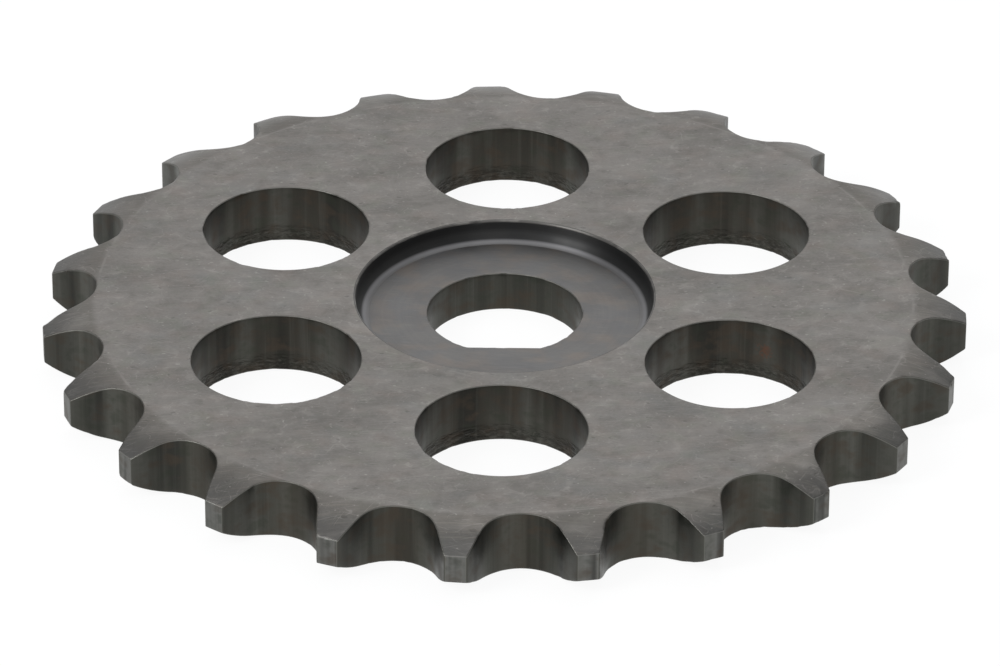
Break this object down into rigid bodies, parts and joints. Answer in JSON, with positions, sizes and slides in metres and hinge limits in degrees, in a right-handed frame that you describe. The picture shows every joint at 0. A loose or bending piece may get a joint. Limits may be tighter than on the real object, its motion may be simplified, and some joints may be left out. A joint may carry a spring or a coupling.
{
  "type": "chain sprocket",
  "caption": "Flat one-piece steel sprocket for roller chain, with relieved teeth, a D-shaped bore in a shallow round recess and a ring of lightening holes.",
  "frame": {"origin": "on the bore's axis at the plain face that the sprocket lies on", "axes": "+Z along the bore's axis towards the recessed face; the flat of the bore faces -Y; +X completes the frame"},
  "size_m": [0.0714, 0.0715, 0.0049],
  "materials": {
    "steel": "satin"
  },
  "bodies": {
    "root": {"sprocket": "steel"}
  },
  "joints": []
}
